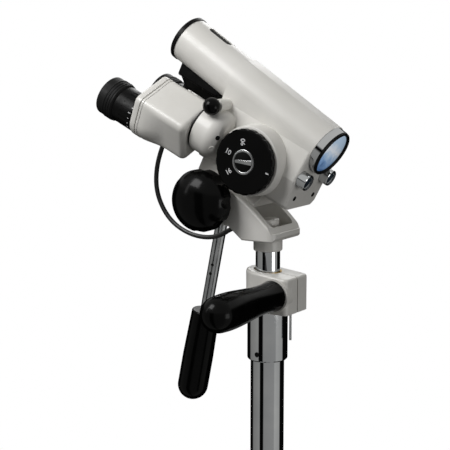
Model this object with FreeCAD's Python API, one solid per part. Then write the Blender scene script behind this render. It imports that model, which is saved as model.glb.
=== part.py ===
import FreeCAD, Part
import math
import os

# A colposcope head on its height-adjustable column. All lengths are in millimetres.
# X points from the eyepieces to the patient, Y to the operator's left, Z up.

V = FreeCAD.Vector
FOLDER = "parts"
os.makedirs(FOLDER, exist_ok=True)

# Clearances
SEAT = 0.3  # round a piece that sits in or on another
RUN = 0.3  # beside a piece that turns or slides

# Column, measured down from the yoke's collar
FOOT_DEPTH = 280.0
TUBE_R = 17.5
TUBE_WALL = 2.5
TUBE_STEP = 0.5 # turned off the tube where the sleeve and the block hold it
TUBE_IN_BLOCK = 14.0
SLEEVE_WALL = 3.2
SLEEVE_LENGTH = 53.0
SLEEVE_CHAMFER = 1.2
FOOT_RING = 2.2
SET_SCREW_R = 2.5
SET_SCREW_DROP = 45.0

# Clamp block
BLOCK_TOP = -20.5
BLOCK_HEIGHT = 41.0
BLOCK_REAR_R = 22.3
BLOCK_FRONT = 35.5
BLOCK_CORNER = 5.0
BLOCK_EDGE = 3.0
BLOCK_SLOPE = 6.5
BOSS_R = 17.5
BOSS_RISE = 1.0
SLIT = 1.6
BUSH_WALL = 1.5
BUSH_LENGTH = 26.0

# Clamp lever
CLAMP_X = 19.6
CLAMP_DROP = 42.0
CLAMP_SCREW_R = 3.2
CLAMP_HOLD = 28.0
LEVER_ROOT_R = 16.0
LEVER_WAIST_R = 14.8
LEVER_BULGE_R = 18.0
LEVER_LENGTH = 117.5
NUT_R = 7.0
NUT_DEPTH = 5.0

# Stem and swivel
STEM_R = 12.7
STEM_LENGTH = 180.0
GUIDE_LENGTH = 14.0
SPIGOT_R = 8.0
CAP_R = 11.5
CAP_TOP = 33.0
CAP_ROOF = 4.0
STOP_ROD_R = 1.25
STOP_ROD_LENGTH = 30.0
STOP_ROD_X = 27.5

# Yoke
COLLAR_R = 15.0
COLLAR_HEIGHT = 13.0
FLOOR_THICK = 5.0
RIM_RISE = 3.5
YOKE_HALF = 30.0
ARM = 8.0
WALL_X = 24.0
WALL = 6.5
YOKE_CORNER = 8.5
PIVOT_X = -52.0
PIVOT_Z = 52.9
ARM_END_R = 27.0
ARM_TOP = ((-38.0, 71.0), (-8.0, 50.5), (17.0, 28.0))
ARM_HEEL = (-29.7, 25.6)
ARM_TOE = -14.0
YOKE_EDGE = 2.0
PIVOT_R = 6.0
CORD_R = 2.5
GLAND_R = 4.6
GLAND_LENGTH = 8.0

# Head, in its own frame: x runs forward and w up from the tilt pivot
HEAD_TILT = 25.5
LUG_HUB_R = 19.0
HEAD_BOTTOM = 33.3
HEAD_REAR = -33.0
HEAD_FRONT = 82.0
HEAD_FOOT_HALF = 30.0
HEAD_MID_HALF = 34.0
HEAD_MID = 66.0
HEAD_WALL = 4.0
HEAD_EDGE = 3.0
FRONT_CHAMFER = 7.0
CHAMBER_TOP = 98.0

# Lamp tube, along its own axis
LAMP_AT = (-113.2, 126.5)
LAMP_TILT = 7.42
LAMP_R = 26.1
LAMP_TUBE_R = 24.0
LAMP_BORE_R = 20.5
LAMP_END = 5.0
LAMP_STEP = 79.0
LAMP_NOSE = 197.0
LAMP_TUBE_IN = 4.0
SLOT_FROM = 20.0
SLOT_TO = 50.0
SLOT_WIDTH = 10.0
STRIP_HALF = 8.0
BEZEL_R = 25.2
BEZEL_LENGTH = 8.0
BEZEL_RING = 3.3
LENS_R = 20.0
LENS_EDGE = 3.0
LENS_CROWN = 4.0
FRONT_CROWN = 2.0

# Objectives
OBJ_Y = 23.0
OBJ_W = 69.0
OBJ_R = 8.5
OBJ_OUT = 9.6
OBJ_IN = 8.0
OBJ_RIM = 1.2
OBJ_FACE = 1.6

# Magnification changer
MAG_X = 31.0
MAG_W = 62.7
MAG_BOSS_R = 36.5
MAG_BOSS_TAPER = 1.5
MAG_BOSS_RISE = 11.5
MAG_KNOB_R = 33.0
MAG_KNOB_THICK = 7.2
MAG_KNOB_FACE = 2.6
MAG_RING_R = 12.5
MAG_RING_SINK = 0.6
MAG_FLUTES = 20
MAG_SHAFT_R = 4.0
DRUM_R = 22.0
DRUM_CLEAR = 1.5
DRUM_WALL = 3.0
DRUM_PORT_Y = 14.0
DRUM_PORT_R = 7.0
CELL_WALL = 1.0
CELL_LENGTH = 6.0

# Filter knob
FILTER_X = -25.0
FILTER_OVER_NECK = 3.5
FILTER_BALL_R = 9.0
FILTER_BALL_Y = 54.0
FILTER_BOSS_R = 6.5
FILTER_DISC_R = 15.0
FILTER_DISC_THICK = 1.5
FILTER_SHAFT_R = 2.0

# Necks and prism housings
NECK_Y = 34.0
NECK_W = 66.0
NECK_R = 26.0
NECK_FRONT = -4.0
NECK_ROUND = 13.0
NECK_BORE_R = 12.0
NECK_BORE_DEEP = 18.0
NECK_TUBE_WALL = 2.5
NECK_TUBE_LENGTH = 14.0
GASKET = 2.7
GASKET_INSET = 1.2
PRISM_Y = 38.25
PRISM_W = 57.5
PRISM_SIZE = 49.0
PRISM_ROLL = 32.0
PRISM_CORNER = 5.0
PRISM_INNER_CORNER = 9.0
PRISM_LENGTH = 58.5
PRISM_WALL = 3.0
COVER_LENGTH = 8.5
COVER_ROUND = 3.5
GROOVE = 0.3
PORRO_LEG = 24.0
PORRO_DEEP = 20.0
PORRO_GAP = 3.0

# Eyepieces
EYE_Y = 45.0
EYE_W = 43.2
EYE_BORE_R = 13.0
EYE_BOSS_R = 20.5
EYE_TUBE_R = 15.0
EYE_TUBE_LENGTH = 18.0
DIOPTRE_R = 19.5
DIOPTRE_LENGTH = 25.0
DIOPTRE_SERRATIONS = 24
CUP_R = 21.0
CUP_LENGTH = 21.0
CUP_WALL = 3.0
OCULAR_R = 12.0
OCULAR_EDGE = 3.0

# Lamp socket box under the tube
BOX_REAR = -100.0
BOX_FRONT = -46.0
BOX_BOTTOM = 91.0
BOX_HALF = 14.0
BOX_EDGE = 2.0
BOX_WALL = 2.0

# Tilt clamp and tilt handle
TILT_KNOB_R = 32.0
TILT_KNOB_FROM = 37.0
TILT_KNOB_RIM = 13.0
TILT_KNOB_DOME = 18.0
TILT_LOBES = 8
TILT_HOLD = 14.0
WASHER_R = 14.0
HUB_R = 15.0
HUB_Y = 30.0
HUB_THICK = 9.0
ROD_R = 6.5
ROD_Y = 45.0
ROD_BACK = 26.3
ROD_LEAN = 11.7
ROD_SOCKET_R = 10.0
ROD_SOCKET_UP = 12.0
ROD_SOCKET_DOWN = 14.0
GRIP_R = 17.0
GRIP_TOP = 141.0
GRIP_LENGTH = 106.0

X_AXIS = V(1, 0, 0)
Y_AXIS = V(0, 1, 0)
Z_AXIS = V(0, 0, 1)
NO_TURN = FreeCAD.Rotation()

# The three frames that pieces are drawn in
STAND = FreeCAD.Placement(V(0, 0, FOOT_DEPTH), NO_TURN)
HEAD = FreeCAD.Placement(
    V(PIVOT_X, 0, FOOT_DEPTH + PIVOT_Z), FreeCAD.Rotation(Y_AXIS, HEAD_TILT)
)
LAMP_IN_HEAD = FreeCAD.Placement(
    V(LAMP_AT[0], 0, LAMP_AT[1]), FreeCAD.Rotation(Y_AXIS, LAMP_TILT)
)
PRISM_IN_HEAD = FreeCAD.Placement(
    V(0, -PRISM_Y, PRISM_W), FreeCAD.Rotation(X_AXIS, PRISM_ROLL)
)

# Heights and faces that several pieces share
BLOCK_BOTTOM = BLOCK_TOP - BLOCK_HEIGHT
TUBE_TOP = BLOCK_BOTTOM + TUBE_IN_BLOCK
TUBE_HELD_R = TUBE_R - TUBE_STEP
DRUM_HALF = HEAD_FOOT_HALF - HEAD_WALL - DRUM_CLEAR
FILTER_W = NECK_W + NECK_R + FILTER_OVER_NECK
TUBE_BORE_R = TUBE_R - TUBE_WALL
SLEEVE_R = TUBE_R + SEAT + SLEEVE_WALL
BUSH_R = STEM_R + RUN + BUSH_WALL
BOSS_FACE = BLOCK_REAR_R + BOSS_RISE
CLAMP_Z = -CLAMP_DROP
FLOOR = COLLAR_HEIGHT + FLOOR_THICK
ARM_INSIDE = YOKE_HALF - ARM
LUG_HALF = ARM_INSIDE - RUN
MAG_FACE = HEAD_MID_HALF + MAG_BOSS_RISE
PRISM_FRONT = HEAD_REAR - GASKET - RUN
PRISM_REAR = PRISM_FRONT - PRISM_LENGTH
COVER_REAR = PRISM_REAR - COVER_LENGTH
NECK_TUBE_R = NECK_BORE_R - RUN
ROD_TURN = math.radians(ROD_LEAN)
ROD_UP = V(math.sin(ROD_TURN), 0, math.cos(ROD_TURN))
ROD_AT = V(PIVOT_X - ROD_BACK, ROD_Y, PIVOT_Z)


def moved(shape, frame):
    out = shape.copy()
    out.transformShape(frame.toMatrix())
    return out


def save(name, shape, frame=STAND):
    placed = moved(shape, frame)
    if len(placed.Solids) == 1:
        placed = placed.Solids[0]
    placed.exportStep(os.path.join(FOLDER, name + ".step"))


def save_pair(name, shape):
    # The near piece and its mirror image on the operator's left
    save("near_" + name, shape, HEAD)
    save("far_" + name, shape.mirror(V(0, 0, 0), Y_AXIS), HEAD)


def rod(at, axis, radius, length, bore=0.0):
    out = Part.makeCylinder(radius, length, at, axis)
    if bore > 0:
        out = out.cut(Part.makeCylinder(bore, length, at, axis))
    return out


def box(x0, x1, y0, y1, z0, z1):
    return Part.makeBox(x1 - x0, y1 - y0, z1 - z0, V(x0, y0, z0))


def turned(edges, at, axis):
    # A solid of revolution from a closed outline drawn as (radius, distance along the axis)
    face = Part.Face(Part.Wire(edges))
    out = face.revolve(V(0, 0, 0), Z_AXIS, 360)
    return moved(out, FreeCAD.Placement(at, FreeCAD.Rotation(Z_AXIS, axis)))


def outline(points):
    # Straight edges through (radius, distance) points, closed
    corners = [V(r, 0, s) for r, s in points]
    return Part.makePolygon(corners + corners[:1]).Edges


def turned_polygon(points, at, axis):
    return turned(outline(points), at, axis)


def smooth(points):
    curve = Part.BSplineCurve()
    curve.interpolate([V(r, 0, s) for r, s in points])
    return curve.toShape()


def line(a, b):
    return Part.makeLine(V(a[0], 0, a[1]), V(b[0], 0, b[1]))


def arc(a, b, c):
    return Part.Arc(V(a[0], 0, a[1]), V(b[0], 0, b[1]), V(c[0], 0, c[1])).toShape()


def crown(radius, edge_at, tip_at):
    # The arc of a ball from its edge to its tip on the axis, or back where the edge is given last
    rise = tip_at - edge_at
    ball = (radius**2 + rise**2) / (2 * rise)
    turn = math.asin(radius / abs(ball)) / 2
    middle = (abs(ball) * math.sin(turn), tip_at - ball * (1 - math.cos(turn)))
    return arc((radius, edge_at), middle, (0, tip_at))


def plate(edges, half):
    # An outline in X and Z, as thick as twice the half width along Y
    face = Part.Face(Part.Wire(edges))
    face.translate(V(0, -half, 0))
    return face.extrude(V(0, 2 * half, 0))


def soften(shape, radius, pick):
    return shape.makeFillet(radius, [edge for edge in shape.Edges if pick(edge)])


def along(edge, axis):
    # Whether a straight edge runs along an axis
    if len(edge.Vertexes) < 2:
        return False
    span = edge.Vertexes[1].Point - edge.Vertexes[0].Point
    return span.Length > 0 and abs(abs(span.dot(axis)) - span.Length) < 1e-6


def ring_of(shape, count, at, axis):
    copies = []
    for index in range(count):
        copy = shape.copy()
        copy.rotate(at, axis, 360.0 * index / count)
        copies.append(copy)
    return copies


def rounded_bar(x0, x1, half, inset=0.0):
    # A prism housing's section along X, with a fuller curve on the edge between the eyes
    side = half - inset
    bar = box(x0, x1, -side, side, -side, side)
    bar = soften(bar, PRISM_CORNER - inset, lambda edge: along(edge, X_AXIS) and not inward(edge))
    return soften(bar, PRISM_INNER_CORNER - inset, lambda edge: along(edge, X_AXIS) and inward(edge))


def inward(edge):
    # The edge beside the far housing is the one at +Y and -Z of a bar's own frame
    reach = PRISM_SIZE / 4
    corner = edge.CenterOfMass.y - edge.CenterOfMass.z
    return corner > 3.5 * reach and edge.CenterOfMass.y > reach and edge.CenterOfMass.z < -reach


def column():
    low = BLOCK_BOTTOM - SLEEVE_LENGTH
    step = low - SEAT
    tube = [
        (TUBE_BORE_R, -FOOT_DEPTH),
        (TUBE_R, -FOOT_DEPTH),
        (TUBE_R, step),
        (TUBE_HELD_R, step),
        (TUBE_HELD_R, TUBE_TOP),
        (TUBE_BORE_R, TUBE_TOP),
    ]
    save("column_tube", turned_polygon(tube, V(0, 0, 0), Z_AXIS))

    bore = TUBE_HELD_R + SEAT
    wall = [
        (bore, low + FOOT_RING),
        (bore, BLOCK_BOTTOM),
        (SLEEVE_R, BLOCK_BOTTOM),
        (SLEEVE_R, low + FOOT_RING),
    ]
    sleeve = turned_polygon(wall, V(0, 0, 0), Z_AXIS)
    screw_at = V(0, -bore, BLOCK_BOTTOM - SET_SCREW_DROP)
    sleeve = sleeve.cut(rod(screw_at, -Y_AXIS, SET_SCREW_R + SEAT, SLEEVE_WALL * 2))
    save("sleeve", sleeve)
    save("sleeve_screw", rod(screw_at, -Y_AXIS, SET_SCREW_R, SLEEVE_WALL + SEAT))

    ring = [
        (bore, low),
        (bore, low + FOOT_RING),
        (SLEEVE_R - SEAT, low + FOOT_RING),
        (SLEEVE_R - SEAT, low + SLEEVE_CHAMFER),
        (SLEEVE_R - SEAT - SLEEVE_CHAMFER, low),
    ]
    save("sleeve_ring", turned_polygon(ring, V(0, 0, 0), Z_AXIS))


def clamp_block():
    rise = BLOCK_REAR_R  # spare height above the sloped top
    rear = rod(V(0, 0, BLOCK_BOTTOM), Z_AXIS, BLOCK_REAR_R, BLOCK_HEIGHT + rise)
    nose = box(
        0, BLOCK_FRONT, -BLOCK_REAR_R, BLOCK_REAR_R, BLOCK_BOTTOM, BLOCK_TOP + rise
    )
    nose = soften(
        nose,
        BLOCK_CORNER,
        lambda edge: along(edge, Z_AXIS) and edge.Vertexes[0].X > BLOCK_FRONT - 1,
    )
    block = rear.fuse(nose).removeSplitter()
    reach = 2 * BLOCK_FRONT
    above = box(-reach, reach, -reach, reach, 0, reach)
    tip = FreeCAD.Placement(V(0, 0, BLOCK_TOP), FreeCAD.Rotation(Y_AXIS, BLOCK_SLOPE))
    block = block.cut(moved(above, tip))
    block = soften(
        block,
        BLOCK_EDGE,
        lambda edge: min(v.Z for v in edge.Vertexes) > BLOCK_TOP - BLOCK_HEIGHT / 2
        and not along(edge, Z_AXIS),
    )
    boss_at = V(CLAMP_X, -BLOCK_REAR_R / 2, CLAMP_Z)
    block = block.fuse(rod(boss_at, -Y_AXIS, BOSS_R, BOSS_FACE - BLOCK_REAR_R / 2))
    block = block.cut(
        rod(V(0, 0, BLOCK_BOTTOM), Z_AXIS, TUBE_HELD_R + SEAT, TUBE_IN_BLOCK)
    )
    block = block.cut(rod(V(0, 0, BLOCK_BOTTOM), Z_AXIS, BUSH_R + SEAT, reach))
    block = block.cut(box(0, reach, -SLIT / 2, SLIT / 2, BLOCK_BOTTOM - 1, reach))
    screw_at = V(CLAMP_X, -reach, CLAMP_Z)
    block = block.cut(rod(screw_at, Y_AXIS, CLAMP_SCREW_R + RUN, 2 * reach))
    nut_at = V(CLAMP_X, BLOCK_REAR_R - NUT_DEPTH, CLAMP_Z)
    block = block.cut(rod(nut_at, Y_AXIS, NUT_R + SEAT, reach))
    save("clamp_block", block)

    corners = []
    for index in range(7):
        turn = math.radians(60 * index)
        corners.append(V(NUT_R * math.cos(turn), 0, NUT_R * math.sin(turn)) + nut_at)
    nut = Part.Face(Part.makePolygon(corners)).extrude(V(0, NUT_DEPTH, 0))
    nut = nut.cut(rod(nut_at, Y_AXIS, CLAMP_SCREW_R + RUN, NUT_DEPTH))
    save("clamp_nut", nut)

    bush = rod(V(0, 0, TUBE_TOP), Z_AXIS, BUSH_R, BUSH_LENGTH, STEM_R + RUN)
    save("stem_bush", bush)
    rod_at = V(STOP_ROD_X, 0, BLOCK_BOTTOM)
    save("stop_rod", rod(rod_at, -Z_AXIS, STOP_ROD_R, STOP_ROD_LENGTH))


def clamp_lever():
    root = V(CLAMP_X, -(BOSS_FACE + RUN), CLAMP_Z)
    start = LEVER_LENGTH - LEVER_BULGE_R
    bend = math.sqrt(0.5) * LEVER_BULGE_R
    hold = CLAMP_SCREW_R + SEAT
    deep = CLAMP_HOLD + SEAT
    side = smooth(
        [
            (LEVER_ROOT_R, 1.0),
            (LEVER_WAIST_R, 0.16 * start),
            (0.4 * LEVER_WAIST_R + 0.6 * LEVER_BULGE_R, 0.55 * start),
            (LEVER_BULGE_R, start),
        ]
    )
    edges = [
        line((hold, 0), (LEVER_ROOT_R - 1.0, 0)),
        line((LEVER_ROOT_R - 1.0, 0), (LEVER_ROOT_R, 1.0)),
        side,
        arc((LEVER_BULGE_R, start), (bend, start + bend), (0, LEVER_LENGTH)),
        line((0, LEVER_LENGTH), (0, deep)),
        line((0, deep), (hold, deep)),
        line((hold, deep), (hold, 0)),
    ]
    save("clamp_handle", turned(edges, root, -Y_AXIS))
    screw_at = root + V(0, -CLAMP_HOLD, 0)
    length = CLAMP_HOLD + RUN + BOSS_FACE + BLOCK_REAR_R
    save("clamp_screw", rod(screw_at, Y_AXIS, CLAMP_SCREW_R, length))


def stem():
    foot = V(0, 0, -STEM_LENGTH)
    spigot_top = CAP_TOP - CAP_ROOF
    post = rod(foot, Z_AXIS, STEM_R, STEM_LENGTH - RUN)
    post = post.fuse(rod(foot, Z_AXIS, TUBE_BORE_R - RUN, GUIDE_LENGTH))
    post = post.fuse(rod(V(0, 0, -RUN), Z_AXIS, SPIGOT_R, spigot_top + RUN))
    save("stem", post)

    cap = rod(V(0, 0, FLOOR + RUN), Z_AXIS, CAP_R, CAP_TOP - FLOOR - RUN)
    cap = soften(cap, 1.0, lambda edge: edge.CenterOfMass.z > CAP_TOP - 0.1)
    deep = spigot_top + SEAT - FLOOR
    cap = cap.cut(rod(V(0, 0, FLOOR), Z_AXIS, SPIGOT_R + SEAT, deep))
    save("swivel_cap", cap)


def yoke():
    rim = FLOOR + RIM_RISE
    toe = (WALL_X - 4.0, COLLAR_HEIGHT)
    outer = [
        arc(*ARM_TOP),
        line(ARM_TOP[2], (WALL_X - WALL / 2, rim)),
        line((WALL_X - WALL / 2, rim), (WALL_X, rim)),
        line((WALL_X, rim), (WALL_X, COLLAR_HEIGHT + 4.0)),
        line((WALL_X, COLLAR_HEIGHT + 4.0), toe),
        line(toe, (ARM_TOE, COLLAR_HEIGHT)),
        line((ARM_TOE, COLLAR_HEIGHT), ARM_HEEL),
        line(ARM_HEEL, (PIVOT_X + 10.0, PIVOT_Z - ARM_END_R + 2.0)),
        line((PIVOT_X + 10.0, PIVOT_Z - ARM_END_R + 2.0), (PIVOT_X, PIVOT_Z)),
        line((PIVOT_X, PIVOT_Z), ARM_TOP[0]),
    ]
    body = plate(outer, YOKE_HALF)
    body = soften(
        body,
        YOKE_CORNER,
        lambda edge: along(edge, Z_AXIS) and edge.Vertexes[0].X > WALL_X - 0.1,
    )
    side = V(PIVOT_X, -YOKE_HALF, PIVOT_Z)
    body = body.fuse(rod(side, Y_AXIS, ARM_END_R, 2 * YOKE_HALF)).removeSplitter()
    body = soften(
        body,
        YOKE_EDGE,
        lambda edge: abs(edge.CenterOfMass.y) > YOKE_HALF - 0.1
        and min(abs(v.Y) for v in edge.Vertexes) > YOKE_HALF - 0.1,
    )
    tall = 2 * PIVOT_Z
    trough = box(
        2 * PIVOT_X, WALL_X - WALL, -ARM_INSIDE, ARM_INSIDE, FLOOR, FLOOR + tall
    )
    trough = soften(
        trough,
        YOKE_CORNER / 2,
        lambda edge: along(edge, Z_AXIS) and edge.Vertexes[0].X > 0,
    )
    body = body.cut(trough)
    slot = box(2 * PIVOT_X, ARM_HEEL[0], -ARM_INSIDE, ARM_INSIDE, 0, tall)
    body = body.cut(slot)
    collar = rod(V(0, 0, 0), Z_AXIS, COLLAR_R, COLLAR_HEIGHT + 1.0)
    collar = soften(collar, 1.5, lambda edge: edge.CenterOfMass.z < 0.1)
    body = body.fuse(collar)
    body = body.cut(rod(V(0, 0, -1.0), Z_AXIS, SPIGOT_R + RUN, FLOOR + 2.0))
    body = body.cut(rod(side, Y_AXIS, PIVOT_R + RUN, 2 * YOKE_HALF))
    save("yoke", body)

    gland = rod(gland_face(), X_AXIS, GLAND_R, GLAND_LENGTH)
    save("yoke_gland", gland)


def gland_face():
    # The cord enters behind the swivel cap, in a gland that rests on the floor
    return V(-CAP_R - 1.0 - GLAND_LENGTH, 0, FLOOR + GLAND_R)


def lamp_point(along_tube, up=0.0):
    return LAMP_IN_HEAD.multVec(V(along_tube, 0, up))


def lamp_rod(start, end, radius, bore=0.0):
    return moved(
        rod(V(start, 0, 0), X_AXIS, radius, end - start, bore), LAMP_IN_HEAD
    )


def section(inset, low, high, x0, x1):
    # The head's cross-section, drawn inside its walls by an inset
    foot = HEAD_FOOT_HALF - inset
    mid = HEAD_MID_HALF - inset
    top = LAMP_R - inset
    chamfer = 4.0
    points = [
        (foot - chamfer, low),
        (foot, low + chamfer),
        (mid, HEAD_MID),
        (top, CHAMBER_TOP),
        (top, high),
    ]
    right = [V(x0, y, w) for y, w in points]
    left = [V(x0, -y, w) for y, w in reversed(points)]
    face = Part.Face(Part.makePolygon(right + left + right[:1]))
    return face.extrude(V(x1 - x0, 0, 0))


def neck(radius, x0, x1):
    return rod(V(x0, -NECK_Y, NECK_W), X_AXIS, radius, x1 - x0)


def both(shape):
    return [shape, shape.mirror(V(0, 0, 0), Y_AXIS)]


def housing():
    above = LAMP_AT[1]
    body = section(0, HEAD_BOTTOM, above, HEAD_REAR, HEAD_FRONT)
    reach = 4 * HEAD_FRONT
    lid = moved(box(-reach, reach, -reach, reach, 0, reach), LAMP_IN_HEAD)
    body = body.cut(lid)
    body = soften(
        body,
        HEAD_EDGE,
        lambda edge: edge.CenterOfMass.x > HEAD_FRONT - 0.1
        and edge.CenterOfMass.z < above - LAMP_R
        and abs(edge.CenterOfMass.y) > LAMP_R - 1,
    )
    body = body.fuse(lamp_rod(LAMP_STEP, LAMP_NOSE, LAMP_R))
    for shape in both(neck(NECK_R, HEAD_REAR, NECK_FRONT)):
        body = body.fuse(
            soften(
                shape, NECK_ROUND, lambda edge: edge.CenterOfMass.x > NECK_FRONT - 0.1
            )
        )
    boss = Part.makeCone(
        MAG_BOSS_R, MAG_BOSS_R - MAG_BOSS_TAPER, MAG_FACE - LAMP_R,
        V(MAG_X, -LAMP_R, MAG_W), -Y_AXIS,
    )
    boss = boss.cut(box(-reach, reach, -YOKE_HALF - 2, reach, -reach, HEAD_BOTTOM + 1))
    boss = soften(boss, 1.2, lambda edge: edge.CenterOfMass.y < -MAG_FACE + 0.1)
    body = body.fuse(boss)
    ball_foot = FILTER_BALL_Y - FILTER_BALL_R - RUN
    filter_at = V(FILTER_X, -LAMP_R, FILTER_W)
    stub = rod(filter_at, -Y_AXIS, FILTER_BOSS_R, ball_foot - LAMP_R)
    body = body.fuse(stub)

    inner_front = HEAD_FRONT - 1.5 * HEAD_WALL
    chamber = section(
        HEAD_WALL,
        HEAD_BOTTOM + HEAD_WALL,
        CHAMBER_TOP + 1,
        HEAD_REAR + HEAD_WALL,
        inner_front,
    )
    body = body.cut(chamber)
    body = body.cut(lamp_rod(LAMP_STEP - 1, LAMP_NOSE + 1, LAMP_BORE_R))
    tube_seat = LAMP_STEP + LAMP_TUBE_IN
    body = body.cut(lamp_rod(0, tube_seat, LAMP_TUBE_R + SEAT))
    body = body.cut(lamp_rod(LAMP_NOSE, LAMP_NOSE + HEAD_FRONT, BEZEL_R + SEAT))
    strip_at = LAMP_R - 1.2
    strip = box(LAMP_STEP - 1, reach, -reach, reach, strip_at, reach)
    body = body.cut(moved(strip, LAMP_IN_HEAD))
    for shape in both(neck(NECK_BORE_R, HEAD_REAR, HEAD_REAR + NECK_BORE_DEEP)):
        body = body.cut(shape)
    for side in (-1, 1):
        at = V(HEAD_FRONT - 4 * HEAD_WALL, side * OBJ_Y, OBJ_W)
        body = body.cut(rod(at, X_AXIS, OBJ_R + SEAT, reach))
    body = body.cut(
        rod(V(MAG_X, 0, MAG_W), -Y_AXIS, MAG_SHAFT_R + RUN, 2 * HEAD_MID_HALF)
    )
    body = body.cut(
        rod(V(FILTER_X, 0, FILTER_W), -Y_AXIS, FILTER_SHAFT_R + RUN, FILTER_BALL_Y)
    )
    save("housing", body, HEAD)


def lug():
    top = HEAD_BOTTOM
    edges = outline(
        [
            (HEAD_REAR + 3.0, top),
            (HEAD_REAR + 3.0, top - 15.0),
            (-0.9 * LUG_HUB_R, -0.43 * LUG_HUB_R),
            (0.73 * LUG_HUB_R, -0.68 * LUG_HUB_R),
            (43.2, 12.7),
            (48.7, 26.5),
            (48.7, top),
        ]
    )
    body = plate(edges, LUG_HALF)
    side = V(0, -LUG_HALF, 0)
    body = body.fuse(rod(side, Y_AXIS, LUG_HUB_R, 2 * LUG_HALF)).removeSplitter()
    body = body.cut(rod(side, Y_AXIS, PIVOT_R + SEAT, 2 * LUG_HALF))
    save("head_lug", body, HEAD)


def lamp_tube():
    tube = lamp_rod(
        LAMP_END, LAMP_STEP + LAMP_TUBE_IN, LAMP_TUBE_R, LAMP_BORE_R
    )
    half = SLOT_WIDTH / 2
    slot = box(SLOT_FROM, SLOT_TO, -half, half, 0, 2 * LAMP_R)
    slot = soften(slot, 0.9 * half, lambda edge: along(edge, Z_AXIS))
    tube = tube.cut(moved(slot, LAMP_IN_HEAD))
    save("lamp_tube", tube, HEAD)

    plate_thick = 2.0
    lip = LAMP_TUBE_R + 0.8
    cap = [
        (0, 0),
        (lip - 1.0, 0),
        (lip, 1.0),
        (lip, LAMP_END),
        (LAMP_BORE_R, LAMP_END),
        (LAMP_BORE_R, plate_thick),
        (0, plate_thick),
    ]
    save("lamp_end_cap", moved(turned_polygon(cap, V(0, 0, 0), X_AXIS), LAMP_IN_HEAD), HEAD)

    socket_end = plate_thick + 16.0
    save("lamp_socket", lamp_rod(plate_thick, socket_end, 9.0), HEAD)
    bulb_end = socket_end + 22.0
    bulb = lamp_rod(socket_end, bulb_end, 5.0)
    bulb = soften(bulb, 4.0, lambda edge: (edge.CenterOfMass - lamp_point(bulb_end)).Length < 1)
    save("lamp", bulb, HEAD)
    dish = LAMP_BORE_R - SEAT
    glass_at = LAMP_STEP - 9.0
    save("heat_filter", lamp_rod(glass_at, glass_at + 3.0, dish), HEAD)
    rim = LAMP_NOSE - 20.0
    convex = [
        line((0, rim - LENS_CROWN), (0, rim + LENS_EDGE)),
        line((0, rim + LENS_EDGE), (dish, rim + LENS_EDGE)),
        line((dish, rim + LENS_EDGE), (dish, rim)),
        crown(dish, rim, rim - LENS_CROWN),
    ]
    save("condenser_lens", moved(turned(convex, V(0, 0, 0), X_AXIS), LAMP_IN_HEAD), HEAD)


def bezel():
    rear = LAMP_NOSE
    front = rear + BEZEL_LENGTH
    band = [
        (LENS_R - 1.5, rear),
        (BEZEL_R, rear),
        (BEZEL_R, front),
        (LENS_R + SEAT, front),
        (LENS_R + SEAT, rear + 2.0),
        (LENS_R - 1.5, rear + 2.0),
    ]
    save("bezel", moved(turned_polygon(band, V(0, 0, 0), X_AXIS), LAMP_IN_HEAD), HEAD)
    ring = [
        (LENS_R - 1.0, front),
        (BEZEL_R - 0.4, front),
        (BEZEL_R - 0.4, front + 2.0),
        (BEZEL_R - 1.7, front + BEZEL_RING),
        (LENS_R, front + BEZEL_RING),
        (LENS_R - 1.0, front + BEZEL_RING - 1.0),
    ]
    save("bezel_ring", moved(turned_polygon(ring, V(0, 0, 0), X_AXIS), LAMP_IN_HEAD), HEAD)
    back = rear + 2.0
    edge_at = front - SEAT
    clear_r = LENS_R - 1.5
    lens = [
        line((0, back), (LENS_R, back)),
        line((LENS_R, back), (LENS_R, edge_at)),
        line((LENS_R, edge_at), (clear_r, edge_at)),
        crown(clear_r, edge_at, edge_at + FRONT_CROWN),
        line((0, edge_at + FRONT_CROWN), (0, back)),
    ]
    save("front_lens", moved(turned(lens, V(0, 0, 0), X_AXIS), LAMP_IN_HEAD), HEAD)


def socket_box():
    high = LAMP_AT[1]
    shell = box(BOX_REAR, BOX_FRONT, -BOX_HALF, BOX_HALF, BOX_BOTTOM, high)
    shell = soften(
        shell,
        BOX_EDGE,
        lambda edge: edge.CenterOfMass.z < BOX_BOTTOM + 0.1 or along(edge, Z_AXIS),
    )
    wall = BOX_WALL
    inside = box(
        BOX_REAR + wall, BOX_FRONT - wall, -BOX_HALF + wall, BOX_HALF - wall,
        BOX_BOTTOM + wall, high,
    )
    shell = shell.cut(inside)
    shell = shell.cut(lamp_rod(0, LAMP_STEP, LAMP_TUBE_R + SEAT))
    shell = shell.cut(rod(gland_top(), -Z_AXIS, CORD_R + SEAT, 2 * wall))
    shell = shell.cut(rod(gland_top(), Z_AXIS, CORD_R + SEAT, 2 * wall))
    save("socket_box", shell, HEAD)
    save("box_gland", rod(gland_top(), -Z_AXIS, GLAND_R, GLAND_LENGTH), HEAD)


def gland_top():
    return V(BOX_REAR + GLAND_R + 1.5 * BOX_EDGE, 0, BOX_BOTTOM)


def objectives():
    rear = HEAD_FRONT - OBJ_IN
    front = HEAD_FRONT + OBJ_OUT
    bore = OBJ_R - OBJ_RIM
    barrel = [
        (bore - 1.0, rear),
        (OBJ_R, rear),
        (OBJ_R, front - 0.5),
        (OBJ_R - 0.5, front),
        (bore, front),
        (bore, rear + 2.0),
        (bore - 1.0, rear + 2.0),
    ]
    at = V(0, -OBJ_Y, OBJ_W)
    save_pair("objective_cell", turned_polygon(barrel, at, X_AXIS))
    face = front - OBJ_FACE
    glass = bore - SEAT
    lens = [
        line((0, rear + 2.0), (glass, rear + 2.0)),
        line((glass, rear + 2.0), (glass, face)),
        crown(glass, face, face + 0.8),
        line((0, face + 0.8), (0, rear + 2.0)),
    ]
    save_pair("objective_lens", turned(lens, at, X_AXIS))


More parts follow.
